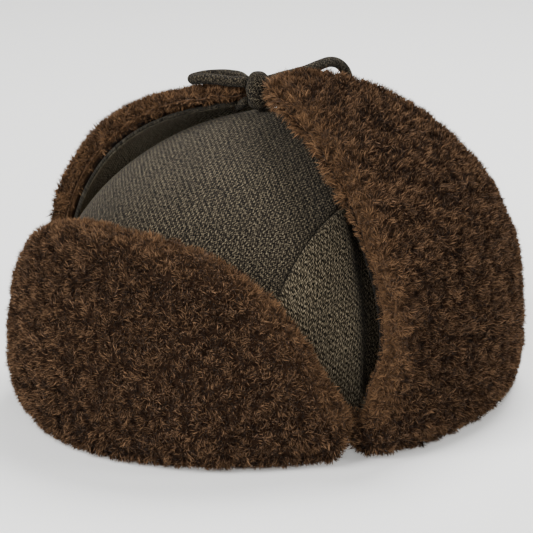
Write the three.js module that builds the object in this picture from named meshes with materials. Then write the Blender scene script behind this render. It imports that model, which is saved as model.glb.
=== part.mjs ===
// Aviator hat of wool tweed with deep shearling flaps, all turned up and tied over the crown.
// Millimetres, +Z up, front towards -Y, wearer's left towards +X, standing on z = 0.
//
// Every piece of cloth and fur is laid out on one flat chart of the crown, as a pattern cutter
// would: the chart's centre is the crown's apex, the distance from it is the arc length down
// the crown, and the angle runs from the front (0) over the wearer's left (90) to the back (180).
// crownPoint() then lifts a chart point to its place on the crown, or off it by a given lift.
import * as THREE from "three";
import { ParametricGeometry } from "three/addons/geometries/ParametricGeometry.js";
import { mergeGeometries, mergeVertices } from "three/addons/utils/BufferGeometryUtils.js";

// Driving dimensions of the crown.
const HEAD_LENGTH = 198;
const HEAD_WIDTH = 164;
const CROWN_WALL = 3;
const CROWN_TOP = 121;
const RIM_HEIGHT = 12;
const CROWN_PEAKEDNESS = 1.6;
const CROWN_SIDE_FULLNESS = 2.9;
const SEAM_GAP = 0.8;

// The side seams: the half width of the centre panel at mid length, and where it meets the rim.
const SEAM_MIDDLE = 67;
const SEAM_RIM_ANGLE = 40;

// The fold where the crown's cloth dips in behind the open front edge of the left ear flap, along
// a line of the chart.
const FOLD = { fromX: 80, fromY: -10, toX: 140, toY: -36, depth: 8, reach: 12.5 };

// Cloth and pile of the flaps.
const FLAP_CLOTH = 2;
const TOUCH_GAP = 1.18;
const PILE = 11.5;
const EDGE_ROUND = 12;
const EDGE_MIDDLE = 0.35;
const END_ROUND = 8;
const LOCK_RELIEF = 0.7;
const RIM_LIFT = 1.6;
const BACK_SEAM_GAP = 0.6;

// The roll of fur under the rim, given as stand-offs from the crown's wall: its inner limit, the
// inner edge of the flat strip that rests on the floor, and how far up its outside is rounded.
const VISOR_FOOT = { inner: -3, stripFrom: -1, stripTo: 4.5, round: 36 };
const FLAP_FOOT = { inner: -3, stripFrom: -1, stripTo: 7.5, round: 24 };

// The rows of a flap's fur that form the roll: to the strip, over it, and to the shoulder.
const INNER_ROWS = 2;
const FLOOR_ROWS = 3;
const FOOT_ROWS = 7;

// The cord that ties the two ear flaps, and its knot at the crown's top.
const CORD = 4.5;
const CORD_NECK = 3.6;
const CORD_SIDES = 8;
const KNOT = { x: -2.6, y: -2.6, base: 121.8, width: 11.5, depth: 10, height: 16 };

const { clamp, degToRad, lerp, smoothstep } = THREE.MathUtils;

// The crown's profile from apex to rim as arc length, share of the radius and height over the rim.
const CROWN = (() => {
  const radiusX = HEAD_WIDTH / 2 + CROWN_WALL;
  const radiusY = HEAD_LENGTH / 2 + CROWN_WALL;
  const meanRadius = (radiusX + radiusY) / 2;
  const rise = CROWN_TOP - RIM_HEIGHT;
  const steps = 240;
  const table = [];
  for (let i = 0; i <= steps; i += 1) {
    const angle = (Math.PI / 2) * (1 - i / steps);
    const share = Math.cos(angle) ** (2 / CROWN_PEAKEDNESS);
    const height = rise * Math.max(Math.sin(angle), 0) ** (2 / CROWN_SIDE_FULLNESS);
    const last = table[i - 1] ?? { arc: 0, share, height };
    const arc = last.arc + Math.hypot((share - last.share) * meanRadius, height - last.height);
    table.push({ arc, share, height });
  }
  return { radiusX, radiusY, table, arc: table[steps].arc };
})();

// Share of the radius and height over the rim at an arc length; past the rim the wall runs straight down.
function profileAt(arc) {
  const { table } = CROWN;
  if (arc >= CROWN.arc) return { share: 1, height: CROWN.arc - arc };
  const next = Math.max(1, table.findIndex((row) => row.arc > arc));
  const low = table[next - 1];
  const high = table[next];
  const part = (arc - low.arc) / (high.arc - low.arc);
  return { share: lerp(low.share, high.share, part), height: lerp(low.height, high.height, part) };
}

function crownSurface(x, y) {
  const arc = Math.hypot(x, y);
  const { share, height } = profileAt(arc);
  const scale = arc > 0 ? share / arc : 0;
  return new THREE.Vector3(
    CROWN.radiusX * x * scale,
    CROWN.radiusY * y * scale,
    RIM_HEIGHT + height,
  );
}

// The point that stands off the crown by lift, over a point of the chart.
function crownPoint(x, y, lift) {
  const step = 0.5;
  const alongX = crownSurface(x + step, y).sub(crownSurface(x - step, y));
  const alongY = crownSurface(x, y + step).sub(crownSurface(x, y - step));
  const normal = alongX.cross(alongY).normalize();
  return crownSurface(x, y).addScaledVector(normal, lift);
}

// The point of a crown panel at a depth under its outer face.
function panelPoint(x, y, depth) {
  const place = new THREE.Vector2(x, y);
  const from = new THREE.Vector2(FOLD.fromX, FOLD.fromY);
  const line = new THREE.Vector2(FOLD.toX, FOLD.toY).sub(from);
  const part = clamp(place.clone().sub(from).dot(line) / line.lengthSq(), 0, 1);
  const off = place.distanceTo(from.addScaledVector(line, part));
  return crownPoint(x, y, -depth - FOLD.depth * Math.exp(-((off / FOLD.reach) ** 4)));
}

const chartPolar = (angle, arc) => ({
  x: arc * Math.sin(degToRad(angle)),
  y: -arc * Math.cos(degToRad(angle)),
});

// Joins parametric faces into one closed geometry, dropping the triangles that shrank to a line.
function closeFaces(faces) {
  for (const face of faces) {
    face.deleteAttribute("normal");
    face.deleteAttribute("uv");
  }
  const merged = mergeVertices(mergeGeometries(faces), 0.002);
  const { array } = merged.index;
  const kept = [];
  for (let i = 0; i < array.length; i += 3) {
    const [a, b, c] = array.slice(i, i + 3);
    if (a !== b && b !== c && c !== a) kept.push(a, b, c);
  }
  merged.setIndex(kept);
  merged.computeVertexNormals();
  return merged;
}

// A closed body between two faces over the same (u, v), with its four narrow sides.
function closedWall(outerAt, innerAt, columns, rows) {
  const face = (at, flip) => {
    const draw = (u, v, target) => target.copy(at(flip ? 1 - u : u, v));
    return new ParametricGeometry(draw, columns, rows);
  };
  const side = (edgeAt, count) => {
    const draw = (u, v, target) => {
      const { s, t } = edgeAt(u);
      target.copy(v > 0.5 ? innerAt(s, t) : outerAt(s, t));
    };
    return new ParametricGeometry(draw, count, 1);
  };
  return closeFaces([
    face(outerAt, false),
    face(innerAt, true),
    side((u) => ({ s: 1 - u, t: 0 }), columns),
    side((u) => ({ s: u, t: 1 }), columns),
    side((u) => ({ s: 0, t: u }), rows),
    side((u) => ({ s: 1, t: 1 - u }), rows),
  ]);
}

// Crown panels. The centre panel runs from front rim to back rim between the two side seams.
function seamPoint(along) {
  const rim = chartPolar(SEAM_RIM_ANGLE, CROWN.arc);
  const x = lerp(SEAM_MIDDLE, rim.x, along * along);
  return { x, y: -rim.y * along };
}

function centrePanel() {
  const rimAt = (across) => {
    const x = across * chartPolar(SEAM_RIM_ANGLE, CROWN.arc).x;
    return Math.sqrt(CROWN.arc ** 2 - x ** 2);
  };
  const at = (depth) => (u, v) => {
    const across = 2 * u - 1;
    const along = 2 * v - 1;
    const x = across * (seamPoint(along).x - SEAM_GAP / 2);
    return panelPoint(x, along * rimAt(across), depth);
  };
  return closedWall(at(0), at(CROWN_WALL), 12, 20);
}

function sidePanel(side, columns, rows) {
  const at = (depth) => (u, v) => {
    const along = (2 * v - 1) * 0.985;
    const seam = seamPoint(along);
    const angle = 90 + along * (90 - SEAM_RIM_ANGLE);
    const rim = chartPolar(angle, CROWN.arc);
    const across = side > 0 ? u : 1 - u;
    const x = lerp(seam.x + SEAM_GAP / 2, rim.x, across);
    const y = lerp(seam.y, rim.y, across);
    return panelPoint(side * x, y, depth);
  };
  return closedWall(at(0), at(CROWN_WALL), columns, rows);
}

// Half of the front flap. Each row is a rib: its angle on the rim, its rise over the rim at the
// free edge, and how far the cloth stands off the crown there.
const VISOR_HALF = [
  { rim: 0, rise: 76, lift: 1.8 },
  { rim: 12, rise: 75.5, lift: 1.8 },
  { rim: 24, rise: 72.5, lift: 1.8 },
  { rim: 34.5, rise: 66.5, lift: 1.8 },
  { rim: 42.5, rise: 58, lift: 1.8 },
  { rim: 49, rise: 48, lift: 1.8 },
  { rim: 53.5, rise: 37, lift: 1.7 },
  { rim: 57.7, rise: 24, lift: 1.6 },
  { rim: 61, rise: 14, lift: 1.6 },
  { rim: 63.5, rise: 7, lift: 1.6 },
];
const mirrored = VISOR_HALF.slice(1).reverse().map((row) => ({ ...row, rim: -row.rim }));
const VISOR_RIBS = [...mirrored, ...VISOR_HALF].map((row) => ({
  ...row,
  ...chartPolar(row.rim, CROWN.arc - row.rise),
}));

// The ear and neck flap of one side, from its front corner over the tip to the back centre.
// x and y are the chart point where each rib ends on the free edge, lift its stand-off there, and
// spring how much further it stands off on the flap whose front edge has sprung open.
const FLAP_RIBS = [
  { rim: 65, x: 143, y: -66, lift: 1.6 },
  { rim: 68, x: 138, y: -59, lift: 2, spring: 1.2 },
  { rim: 72, x: 130, y: -51.5, lift: 3, spring: 3.6 },
  { rim: 75, x: 122, y: -43, lift: 4, spring: 6 },
  { rim: 78, x: 107, y: -37, lift: 5, spring: 7.5 },
  { rim: 82, x: 86, y: -33, lift: 6.5, spring: 6 },
  { rim: 86, x: 61, y: -27.5, lift: 8, spring: 3 },
  { rim: 90, x: 36, y: -20, lift: 8.5, spring: 1 },
  { rim: 94, x: 16, y: -11.5, lift: 8 },
  { rim: 98, x: 7, y: -2, lift: 7.5 },
  { rim: 103, x: 11, y: 10, lift: 7.5 },
  { rim: 110, x: 24, y: 27, lift: 7.5 },
  { rim: 118, x: 40, y: 44, lift: 6 },
  { rim: 128, x: 54, y: 61, lift: 4.5 },
  { rim: 140, x: 57, y: 76, lift: 3.5 },
  { rim: 152, x: 44, y: 86, lift: 3 },
  { rim: 166, x: 22, y: 92, lift: 3 },
  { rim: 180, x: 0, y: 94, lift: 3 },
];

// The rib once it has sprung open: it leans to the front as it stands off.
const SPRING_LEAN = degToRad(0.37);
function sprungOpen({ rim, x, y, lift, spring = 0 }) {
  const lean = new THREE.Vector2(x, y).rotateAround(new THREE.Vector2(), -spring * SPRING_LEAN);
  return { rim, x: lean.x, y: lean.y, lift: lift + spring };
}

// Where on the chart the tie holds the flaps hardest, and how far from there it still does.
const TIE_CENTRE_Y = 4;
const TIE_REACH = 42;
const TIE_CLEARANCE = 5.8;

const smoothCurve = (points) => new THREE.CatmullRomCurve3(points, false, "centripetal");

// A flap as smooth functions of u, from 0 at its first rib to 1 at its last.
// tie is how the knot's cord holds the tip: pressed is the share of the fur's stand-off that it
// squeezes out over the apex, pulled how far it keeps the tip back from there. overhang is how far
// the fur reaches past the cloth's free edge.
function flapShape(rows, { side, spacing, meetsAtBack, foot, tie, overhang }) {
  const held = ({ x, y }) => Math.exp(-(x * x + (y - TIE_CENTRE_Y) ** 2) / TIE_REACH ** 2);
  const ends = smoothCurve(
    rows.map((row) => new THREE.Vector3(row.x + tie.pulled * held(row), row.y, row.lift)),
  );
  const rims = smoothCurve(rows.map((row, index) => new THREE.Vector3(row.rim, index, 0)));
  const ribAt = (u) => {
    const station = spacing(u);
    const end = ends.getPoint(station);
    const rim = rims.getPoint(station).x;
    const start = chartPolar(rim, CROWN.arc);
    return { start, end, rim, length: Math.hypot(end.x - start.x, end.y - start.y) };
  };
  const firstRim = ribAt(0).rim;
  const lastRim = ribAt(1).rim;
  // Share of the full pile near the ends, where the fur rounds down to the crown.
  const pileShare = ({ rim }) => {
    const fromStart = degToRad(rim - firstRim) * CROWN.radiusX;
    const fromEnd = meetsAtBack ? END_ROUND : degToRad(lastRim - rim) * CROWN.radiusX;
    const inset = Math.min(fromStart / END_ROUND, fromEnd / END_ROUND, 1);
    return Math.sqrt(1 - (1 - inset) ** 2);
  };
  const press = (place) => 1 - tie.pressed * held(place);
  return { ribAt, pileShare, press, side, meetsAtBack, foot, overhang };
}

// The chart point at a rise along a rib; under the rim the rib runs straight down the wall.
function alongRib({ start, end, rim, length }, rise) {
  if (rise < 0) return chartPolar(rim, CROWN.arc - rise);
  return { x: lerp(start.x, end.x, rise / length), y: lerp(start.y, end.y, rise / length) };
}

// The cloth's stand-off from the crown grows from the rim to the free edge.
function clothLift(shape, rib, rise) {
  const opened = lerp(RIM_LIFT, rib.end.z, smoothstep(rise / rib.length, 0, 0.9));
  return opened * shape.press(alongRib(rib, rise));
}

function liftedPoint(shape, rib, { rise, lift }) {
  const place = alongRib(rib, rise);
  const point = crownPoint(shape.side * place.x, place.y, lift);
  const seam = (shape.side * BACK_SEAM_GAP) / 2;
  if (shape.meetsAtBack && point.x * shape.side < BACK_SEAM_GAP / 2) point.x = seam;
  return point;
}

// The cloth ends short of the fur, and shorter still where the tie presses the flap.
function flapCloth(shape, columns, rows) {
  const at = (outwards) => (u, v) => {
    const rib = shape.ribAt(shape.side > 0 ? u : 1 - u);
    const held = TIE_CLEARANCE * (1 - shape.press(rib.end));
    const rise = v * Math.max(rib.length - shape.overhang - held, 2);
    return liftedPoint(shape, rib, { rise, lift: clothLift(shape, rib, rise) + outwards });
  };
  return closedWall(at(FLAP_CLOTH), at(0), columns, rows);
}

function quarterTurn(part) {
  const angle = (part * Math.PI) / 2;
  return { sin: Math.sin(angle), cos: Math.cos(angle) };
}

const shoulderRise = (shape, rib) => Math.min(shape.foot.round - RIM_HEIGHT, 0.45 * rib.length);

// The roll of fur under the rim, from its inner limit over the floor strip to the outer shoulder.
function footSection(shape, rib, row) {
  const { inner: foldInner, stripFrom, stripTo } = shape.foot;
  const backing = (rise) => clothLift(shape, rib, rise) + FLAP_CLOTH + TOUCH_GAP;
  const shoulder = shoulderRise(shape, rib);
  if (row <= FLOOR_ROWS) {
    const turn = quarterTurn(Math.min(row / INNER_ROWS, 1));
    const onStrip = Math.max(row - INNER_ROWS, 0);
    return {
      inner: { rise: -TOUCH_GAP, lift: lerp(foldInner, backing(0), row / FLOOR_ROWS) },
      outer: {
        rise: lerp(-TOUCH_GAP, -RIM_HEIGHT, turn.sin),
        lift: lerp(lerp(stripFrom, foldInner, turn.cos), stripTo, onStrip),
      },
    };
  }
  const part = (row - FLOOR_ROWS) / (FOOT_ROWS - FLOOR_ROWS);
  const turn = quarterTurn(part);
  const rise = lerp(-TOUCH_GAP, shoulder, part);
  return {
    inner: { rise, lift: backing(Math.max(rise, 0)) },
    outer: {
      rise: lerp(shoulder, -RIM_HEIGHT, turn.cos),
      lift: lerp(stripTo, backing(shoulder) + PILE, turn.sin),
    },
  };
}

// The fur above the roll. At the free edge its two faces round together past the cloth.
function pileSection(shape, rib, part) {
  const rise = lerp(shoulderRise(shape, rib), rib.length, 1 - (1 - part) ** 1.4);
  const edge = Math.min(EDGE_ROUND, rib.length / 2);
  const inset = Math.min((rib.length - rise) / edge, 1);
  const round = Math.sqrt(1 - (1 - inset) ** 2);
  const pile = PILE * shape.press(alongRib(rib, rise));
  const low = clothLift(shape, rib, rise) + FLAP_CLOTH + TOUCH_GAP;
  return {
    inner: { rise, lift: low + pile * EDGE_MIDDLE * (1 - round) },
    outer: { rise, lift: low + pile * lerp(EDGE_MIDDLE, 1, round), round },
  };
}

// One flap's fur as a single body. Its locks stand up and sink in turn over the outer face,
// each lock as wide as two columns of the grid.
function flapFur(shape, columns, rows) {
  const sectionAt = (u, v) => {
    const rib = shape.ribAt(shape.side > 0 ? u : 1 - u);
    const row = v * rows;
    const section = row > FOOT_ROWS
      ? pileSection(shape, rib, (row - FOOT_ROWS) / (rows - FOOT_ROWS))
      : footSection(shape, rib, row);
    return { rib, section };
  };
  const innerAt = (u, v) => {
    const { rib, section } = sectionAt(u, v);
    return liftedPoint(shape, rib, section.inner);
  };
  const outerAt = (u, v) => {
    const { rib, section } = sectionAt(u, v);
    const share = shape.pileShare(rib);
    const inside = u > 0 && u < 1 && v * rows > FLOOR_ROWS + 1;
    const lock = Math.cos(Math.PI * u * columns) * Math.cos(Math.PI * v * rows);
    const relief = inside ? LOCK_RELIEF * lock * (section.outer.round ?? 1) : 0;
    const high = liftedPoint(shape, rib, { ...section.outer, lift: section.outer.lift + relief });
    return liftedPoint(shape, rib, section.inner).lerp(high, share);
  };
  return closedWall(outerAt, innerAt, columns, rows);
}

// Routes of the cord's centre line. Both loops start and end at the knot: one arches back over
// the crown and lies down on it, the other lies on the right ear flap's fur.
const BOW_LOOP_BACK = [
  { x: -2.6, y: 2.9, z: 133 },
  { x: -1.5, y: 12, z: 133.6 },
  { x: -0.6, y: 24, z: 134 },
  { x: 0, y: 34, z: 135.2 },
  { x: 0, y: 40.5, z: 135.4 },
  { x: 0, y: 46.5, z: 133.6 },
  { x: 0.3, y: 50.8, z: 129.8 },
  { x: 0.6, y: 53.2, z: 124 },
  { x: 0.8, y: 55.5, z: 117.5 },
  { x: 0.6, y: 59, z: 110.5 },
  { x: -1.2, y: 64.5, z: 104.2 },
  { x: -6.9, y: 69, z: 99.8 },
  { x: -12.6, y: 66.9, z: 100.4 },
  { x: -15.6, y: 60.5, z: 103.9 },
  { x: -15.7, y: 50.9, z: 109 },
  { x: -13.7, y: 38.9, z: 114.6 },
  { x: -10.2, y: 26.4, z: 119.1 },
  { x: -6.9, y: 13.4, z: 122.7 },
  { x: -4.6, y: 2.7, z: 126.4 },
];
const BOW_LOOP_RIGHT = [
  { x: -8.9, y: -3, z: 132.6 },
  { x: -13, y: -3.6, z: 132.3 },
  { x: -18, y: -4.2, z: 131.9 },
  { x: -22, y: -4.6, z: 132 },
  { x: -26, y: -4.8, z: 131.8 },
  { x: -33, y: -4.8, z: 131 },
  { x: -38.3, y: -3.2, z: 129.9 },
  { x: -41.2, y: 1.2, z: 129.3 },
  { x: -39.8, y: 6.2, z: 129.7 },
  { x: -35, y: 8.4, z: 130.4 },
  { x: -30.5, y: 8, z: 131.1 },
  { x: -26, y: 7, z: 131.6 },
  { x: -18, y: 4, z: 132.3 },
  { x: -13, y: 2, z: 131 },
  { x: -8.8, y: 0, z: 129 },
];
const TIE_END_LEFT = [
  { x: 2.7, y: 2.2, z: 130.6 },
  { x: 5, y: 7, z: 127 },
  { x: 7.4, y: 12.5, z: 123.2 },
  { x: 10.3, y: 22.1, z: 120.2 },
  { x: 13.7, y: 34.7, z: 116 },
  { x: 15.3, y: 45.9, z: 111.4 },
];
const TIE_END_RIGHT = [
  { x: 0, y: 2.8, z: 126.2 },
  { x: 0.6, y: 13.5, z: 122.8 },
  { x: 1.9, y: 26.4, z: 119.8 },
  { x: 2.7, y: 39, z: 115.8 },
  { x: 3.2, y: 48.1, z: 111.9 },
];
const TIE_CORD_LEFT = [
  { x: 9.2, y: -2, z: 126.8 },
  { x: 4, y: -2.6, z: 127.6 },
];
const TIE_CORD_RIGHT = [
  { x: -14.2, y: -2.4, z: 121.4 },
  { x: -8.8, y: -3.4, z: 124.8 },
];

function cord(route, steps, diameter = CORD) {
  const section = new THREE.Shape().absarc(0, 0, diameter / 2, 0, 2 * Math.PI);
  const extrudePath = smoothCurve(route.map((row) => new THREE.Vector3(row.x, row.y, row.z)));
  const options = { steps, extrudePath, curveSegments: CORD_SIDES / 2, bevelEnabled: false };
  return closeFaces([new THREE.ExtrudeGeometry(section, options)]);
}

// The knot: a plump upright body of three wraps, with the cord's turns as ridges.
function knot() {
  const draw = (u, v, target) => {
    const around = -2 * Math.PI * u;
    const up = Math.PI * v;
    const wrap = 0.93 + 0.07 * Math.cos(6 * up + around) * Math.sin(up);
    const plump = Math.sin(up) ** 0.6 * wrap;
    target.set(
      KNOT.x + (KNOT.width / 2) * plump * Math.cos(around),
      KNOT.y + (KNOT.depth / 2) * plump * Math.sin(around),
      KNOT.base + (KNOT.height / 2) * (1 + Math.cos(up)),
    );
  };
  return closeFaces([new ParametricGeometry(draw, 14, 12)]);
}

const CLOTH = { color: 0x55503f, roughness: 0.95, metalness: 0 };
const FUR = { color: 0x4a3525, roughness: 1, metalness: 0 };

function piece(name, geometry, finish) {
  const mesh = new THREE.Mesh(geometry, new THREE.MeshStandardMaterial(finish));
  mesh.name = name;
  return mesh;
}

const hat = new THREE.Group();

const crown = new THREE.Group();
crown.add(
  piece("crown_centre_panel", centrePanel(), CLOTH),
  piece("crown_side_panel_left", sidePanel(1, 8, 20), CLOTH),
  piece("crown_side_panel_right", sidePanel(-1, 5, 16), CLOTH),
);
hat.add(crown);

const easeBothEnds = (u) => 0.5 * u + 0.5 * smoothstep(u, 0, 1);
const easeFromStart = (u) => u ** 1.35;
const loose = { pressed: 0, pulled: 0 };
const visor = flapShape(VISOR_RIBS, {
  side: 1,
  spacing: easeBothEnds,
  meetsAtBack: false,
  foot: VISOR_FOOT,
  tie: loose,
  overhang: 5,
});
hat.add(
  piece("visor_cloth", flapCloth(visor, 34, 5), CLOTH),
  piece("visor_fur", flapFur(visor, 34, 14), FUR),
);

const EAR_FLAPS = [
  {
    name: "left",
    side: 1,
    rows: FLAP_RIBS.map(sprungOpen),
    tie: { pressed: 0, pulled: -2.5 },
    overhang: 5,
  },
  {
    name: "right",
    side: -1,
    rows: FLAP_RIBS,
    tie: { pressed: 0.72, pulled: 3.5 },
    overhang: 1,
  },
];
for (const { name, rows, ...held } of EAR_FLAPS) {
  const shape = flapShape(rows, {
    spacing: easeFromStart,
    meetsAtBack: true,
    foot: FLAP_FOOT,
    ...held,
  });
  hat.add(
    piece(`ear_flap_cloth_${name}`, flapCloth(shape, 28, 8), CLOTH),
    piece(`ear_flap_fur_${name}`, flapFur(shape, 28, 16), FUR),
  );
}

hat.add(
  piece("bow_knot", knot(), CLOTH),
  piece("bow_loop_back", cord(BOW_LOOP_BACK, 28), CLOTH),
  piece("bow_loop_right", cord(BOW_LOOP_RIGHT, 17), CLOTH),
  piece("tie_end_left", cord(TIE_END_LEFT, 7), CLOTH),
  piece("tie_end_right", cord(TIE_END_RIGHT, 7), CLOTH),
  piece("tie_cord_left", cord(TIE_CORD_LEFT, 2, CORD_NECK), CLOTH),
  piece("tie_cord_right", cord(TIE_CORD_RIGHT, 2, CORD_NECK), CLOTH),
);

export default hat;
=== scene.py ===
"""Dresses an aviator hat: a wool tweed crown, deep shearling flaps turned up, and a cord tied in a bow.

The hat stands on z = 0 with its front towards -Y and the wearer's left towards +X. Sizes are in
millimetres unless a name says otherwise; each mesh is made in metres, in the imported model's frame.
"""

import logging
import math
from collections.abc import Sequence
from dataclasses import dataclass, field
from enum import Enum

import bmesh
import bpy
import numpy as np
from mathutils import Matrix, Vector, noise
from mathutils.kdtree import KDTree


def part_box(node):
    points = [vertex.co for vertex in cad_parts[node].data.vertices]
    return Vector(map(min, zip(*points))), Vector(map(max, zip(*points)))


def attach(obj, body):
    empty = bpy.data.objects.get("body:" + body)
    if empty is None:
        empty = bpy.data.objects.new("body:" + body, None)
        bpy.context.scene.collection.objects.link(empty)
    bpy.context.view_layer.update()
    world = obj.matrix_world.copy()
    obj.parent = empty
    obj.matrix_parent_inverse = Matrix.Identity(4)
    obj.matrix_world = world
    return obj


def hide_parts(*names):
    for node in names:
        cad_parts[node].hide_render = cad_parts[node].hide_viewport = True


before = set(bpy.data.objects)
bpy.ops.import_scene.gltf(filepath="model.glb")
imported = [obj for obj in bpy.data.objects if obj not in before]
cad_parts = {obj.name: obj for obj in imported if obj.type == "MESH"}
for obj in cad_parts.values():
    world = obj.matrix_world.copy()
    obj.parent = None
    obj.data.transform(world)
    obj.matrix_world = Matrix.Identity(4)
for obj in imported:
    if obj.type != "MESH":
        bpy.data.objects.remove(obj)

Array = np.ndarray
Colour = tuple[float, float, float, float]
Point = tuple[float, float, float]
Pair = tuple[float, float]
Span = tuple[float, float, float, float]
Inputs = dict[str | int, object]
Piece = bpy.types.Object
Mesh = bpy.types.Mesh
Material = bpy.types.Material
Tree = bpy.types.NodeTree
Node = bpy.types.Node
Socket = bpy.types.NodeSocket
Outputs = bpy.types.NodeOutputs

MM = 0.001
LOG = logging.getLogger("aviator_hat")


class Slot(Enum):
    """The record's material slots."""

    CLOTH = "wool_cloth"
    FUR = "shearling"
    CORD = "wool_cord"


class Side(Enum):
    """A side of the wearer, as the sign of its X."""

    LEFT = 1
    RIGHT = -1


def hex_colour(code: str) -> Colour:
    """Turns an sRGB hex colour into a linear one.

    Args:
        code: The colour as #rrggbb.

    Returns:
        Red, green, blue and an alpha of 1, linear.
    """
    channels = [int(code[i : i + 2], 16) / 255 for i in (1, 3, 5)]
    linear = [c / 12.92 if c <= 0.04045 else ((c + 0.055) / 1.055) ** 2.4 for c in channels]
    return (linear[0], linear[1], linear[2], 1.0)


def set_inputs(node: Node, inputs: Inputs) -> None:
    """Sets a node's inputs.

    Args:
        node: The node.
        inputs: A value or an output socket for each named or numbered input.
    """
    for key, value in inputs.items():
        if isinstance(value, Socket):
            node.id_data.links.new(value, node.inputs[key])
        else:
            node.inputs[key].default_value = value


def add_node(tree: Tree, kind: str, inputs: Inputs | None = None, **settings: object) -> Node:
    """Adds a node with its settings, values and links.

    Args:
        tree: The tree that gets the node.
        kind: The node's type.
        inputs: A value or an output socket for each named or numbered input.
        **settings: The node's own properties.

    Returns:
        The new node.
    """
    node = tree.nodes.new(kind)
    for name, value in settings.items():
        setattr(node, name, value)
    set_inputs(node, inputs or {})
    return node


def add_result(tree: Tree, kind: str, inputs: Inputs | None = None, **settings: object) -> Socket:
    """Adds a node in the same way and returns its first output."""
    return add_node(tree, kind, inputs, **settings).outputs[0]


def math_result(tree: Tree, operation: str, *values: object) -> Socket:
    """Works numbers out in a node.

    Args:
        tree: The tree that gets the node.
        operation: The node's operation.
        *values: Numbers or sockets, in the order of the node's inputs.

    Returns:
        The result's socket.
    """
    return add_result(tree, "ShaderNodeMath", dict(enumerate(values)), operation=operation)


def vector_result(tree: Tree, operation: str, *values: object) -> Socket:
    """Works vectors out in a node, as math_result does with numbers."""
    node = add_node(tree, "ShaderNodeVectorMath", dict(enumerate(values)), operation=operation)
    return node.outputs["Value" if operation == "DOT_PRODUCT" else "Vector"]


def mapped(tree: Tree, value: Socket, span: Span) -> Socket:
    """Adds a map of a number: from the span's first two numbers to its last two."""
    return add_result(tree, "ShaderNodeMapRange", dict(enumerate((value, *span))))


def noise_result(
    tree: Tree, place: Socket, rate: float | Socket, detail: float, output: int | str = 0
) -> Socket:
    """Adds a noise over a place and returns its number, or the output with the given name."""
    inputs = {"Vector": place, "Scale": rate, "Detail": detail}
    return add_node(tree, "ShaderNodeTexNoise", inputs).outputs[output]


def attribute_result(tree: Tree, name: str) -> Socket:
    """Adds one of the mesh's own numbers to a material."""
    kind = "ShaderNodeAttribute"
    return add_node(tree, kind, attribute_type="GEOMETRY", attribute_name=name).outputs["Fac"]


def blended(tree: Tree, share: Socket, first: Socket, second: Colour) -> Socket:
    """Adds a mix that leads from the first colour to the second by the share."""
    return add_node(tree, "ShaderNodeMix", {0: share, 6: first, 7: second}, data_type="RGBA").outputs[2]


def tone_ramp(
    tree: Tree, light: Socket, low: tuple[float, str], middle: tuple[float, str], high: tuple[float, str]
) -> Socket:
    """Adds a ramp of three sRGB colours, each at its own lightness."""
    ramp = add_node(tree, "ShaderNodeValToRGB", {0: light})
    elements = ramp.color_ramp.elements
    for index, (place, code) in enumerate((low, high)):
        elements[index].position = place
        elements[index].color = hex_colour(code)
    elements.new(middle[0]).color = hex_colour(middle[1])
    return ramp.outputs[0]


def new_material(name: str) -> tuple[Material, Tree, Node]:
    """Makes a material and returns it with its node tree and its shader."""
    made = bpy.data.materials.new(name)
    made.use_nodes = True
    return made, made.node_tree, made.node_tree.nodes["Principled BSDF"]


def ease(value: Array, low: float, high: float) -> Array:
    """Rises smoothly from 0 at low to 1 at high."""
    part = np.clip((value - low) / (high - low), 0, 1)
    return part * part * (3 - 2 * part)


def unit(vectors: Array) -> Array:
    """Scales vectors to length 1."""
    return vectors / np.maximum(np.linalg.norm(vectors, axis=-1, keepdims=True), 1e-12)


def read_points(mesh: Mesh) -> Array:
    """Reads a mesh's vertices, in millimetres."""
    flat = np.zeros(len(mesh.vertices) * 3, np.float32)
    mesh.vertices.foreach_get("co", flat)
    return flat.reshape(-1, 3).astype(float) / MM


def read_normals(mesh: Mesh) -> Array:
    """Reads a mesh's vertex normals."""
    flat = np.zeros(len(mesh.vertices) * 3, np.float32)
    mesh.vertex_normals.foreach_get("vector", flat)
    return flat.reshape(-1, 3).astype(float)


def write_points(mesh: Mesh, points: Array) -> None:
    """Moves a mesh's vertices to points given in millimetres."""
    mesh.vertices.foreach_set("co", (points * MM).astype(np.float32).ravel())
    mesh.update()


def write_attribute(mesh: Mesh, name: str, values: Array) -> None:
    """Stores one number or one vector for each vertex under a name."""
    vector = values.ndim == 2
    made = mesh.attributes.new(name, "FLOAT_VECTOR" if vector else "FLOAT", "POINT")
    made.data.foreach_set("vector" if vector else "value", values.astype(np.float32).ravel())


def placed(name: str, data: bpy.types.ID) -> Piece:
    """Puts a mesh, a light or a camera in the scene, at the origin."""
    made = bpy.data.objects.new(name, data)
    bpy.context.scene.collection.objects.link(made)
    return made


def link_piece(name: str, mesh: Mesh) -> Piece:
    """Puts a smooth mesh in the scene as a piece."""
    mesh.name = name
    mesh.shade_smooth()
    return placed(name, mesh)


def make_piece(
    name: str, points: Array, faces: Sequence[Sequence[int]], uv: Array | None = None
) -> Piece:
    """Builds a closed piece from its points and faces, with its faces pointing out.

    Args:
        name: The piece's name.
        points: Vertices in millimetres.
        faces: Vertex numbers of each face.
        uv: Millimetres of cloth at each face corner, in the order of the faces.

    Returns:
        The piece, in the scene.
    """
    mesh = bpy.data.meshes.new(name)
    mesh.from_pydata((points * MM).tolist(), [], [list(face) for face in faces])
    if uv is not None:
        mesh.uv_layers.new(name="cloth").data.foreach_set("uv", uv.astype(np.float32).ravel())
    work = bmesh.new()
    work.from_mesh(mesh)
    bmesh.ops.recalc_face_normals(work, faces=work.faces)
    work.to_mesh(mesh)
    work.free()
    return link_piece(name, mesh)


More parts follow.
